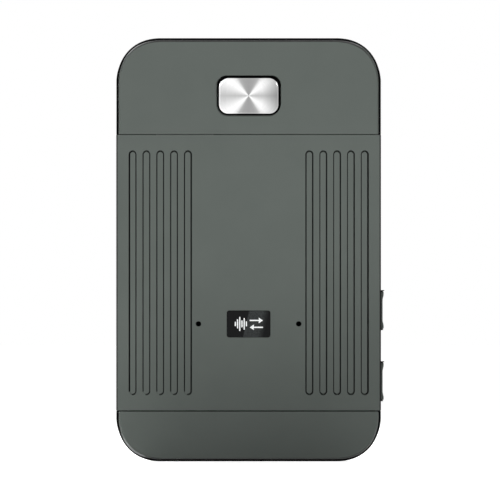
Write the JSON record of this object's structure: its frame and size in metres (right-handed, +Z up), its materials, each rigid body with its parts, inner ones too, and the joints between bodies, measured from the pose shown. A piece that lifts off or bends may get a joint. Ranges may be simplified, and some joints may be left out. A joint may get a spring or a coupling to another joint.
{
  "type": "handheld translator",
  "caption": "Slim handheld voice translator with round corners, a spun metal talk button, a small display window, ribbed grips and two side keys.",
  "frame": {"origin": "middle of the bottom edge, on the surface that the upright device stands on", "axes": "+Z up the device from the bottom edge to the top edge, -Y out of the face, +X towards the side with the keys"},
  "size_m": [0.0606, 0.0119, 0.096],
  "materials": {
    "case_plastic": "fine matt moulded texture, grey-green",
    "key_plastic": "fine matt moulded texture, grey-green",
    "frame_plastic": "satin black",
    "spun_metal": "spun concentric brushing, bright bevelled edge",
    "window_plastic": "gloss black, see-through over the display",
    "black_rubber": "matt silicone",
    "black_foam": "closed-cell foam",
    "tape": "thin double-sided tape",
    "steel": "plain tinned or plated sheet",
    "board_laminate": "green solder mask",
    "chip_plastic": "black moulded package",
    "part_ceramic": "fired ceramic",
    "connector_plastic": "ivory moulding",
    "battery_foil": "laminated pouch foil",
    "circuit_laminate": "amber film over a narrow board",
    "lead_jacket": "red lead jacket",
    "display_glass": "dark display glass",
    "flex_film": "amber flexible circuit",
    "copper_film": "copper on film"
  },
  "bodies": {
    "root": {"mid_frame": "frame_plastic", "top_cap": "case_plastic", "middle_panel": "case_plastic", "bottom_cap": "case_plastic", "rear_cover": "case_plastic", "case_screws": "steel", "talk_button_guide": "frame_plastic", "talk_switch": "steel", "display_window": "window_plastic", "window_tape": "tape", "display_module": "display_glass", "display_pad": "black_foam", "display_strip": "flex_film", "side_switches": "steel", "main_board": "board_laminate", "processor_shield": "steel", "processor_chip": "chip_plastic", "radio_shield": "steel", "board_parts": "part_ceramic", "display_connector": "connector_plastic", "microphones": "steel", "microphone_boots": "black_rubber", "battery": "battery_foil", "battery_circuit": "circuit_laminate", "battery_tape": "tape", "battery_pad": "black_foam", "battery_socket": "connector_plastic", "battery_plug": "connector_plastic", "battery_leads": "lead_jacket", "charging_socket": "steel", "charging_tongue": "frame_plastic", "speaker_box": "chip_plastic", "speaker_membrane": "black_rubber", "speaker_gasket": "black_foam", "speaker_mesh": "black_foam", "antenna_bracket": "chip_plastic", "antenna_film": "copper_film", "board_screws": "steel"},
    "talk_button": {"talk_button_cap": "spun_metal", "talk_button_carrier": "frame_plastic", "talk_plunger": "frame_plastic"},
    "upper_key": {"upper_key_cap": "key_plastic", "upper_key_base": "black_rubber", "upper_plunger": "frame_plastic"},
    "lower_key": {"lower_key_cap": "key_plastic", "lower_key_base": "black_rubber", "lower_plunger": "frame_plastic"}
  },
  "joints": [
    {"name": "talk_press", "type": "slide", "parent": "root", "child": "talk_button", "axis": [0, 1, 0], "range_m": [0, 0.00035], "stiffness_N_per_m": 60, "springref_m": -0.004},
    {"name": "upper_key_press", "type": "slide", "parent": "root", "child": "upper_key", "axis": [-1, 0, 0], "range_m": [0, 0.0003], "stiffness_N_per_m": 40, "springref_m": -0.005},
    {"name": "lower_key_press", "type": "slide", "parent": "root", "child": "lower_key", "axis": [-1, 0, 0], "range_m": [0, 0.0003], "stiffness_N_per_m": 40, "springref_m": -0.005}
  ]
}
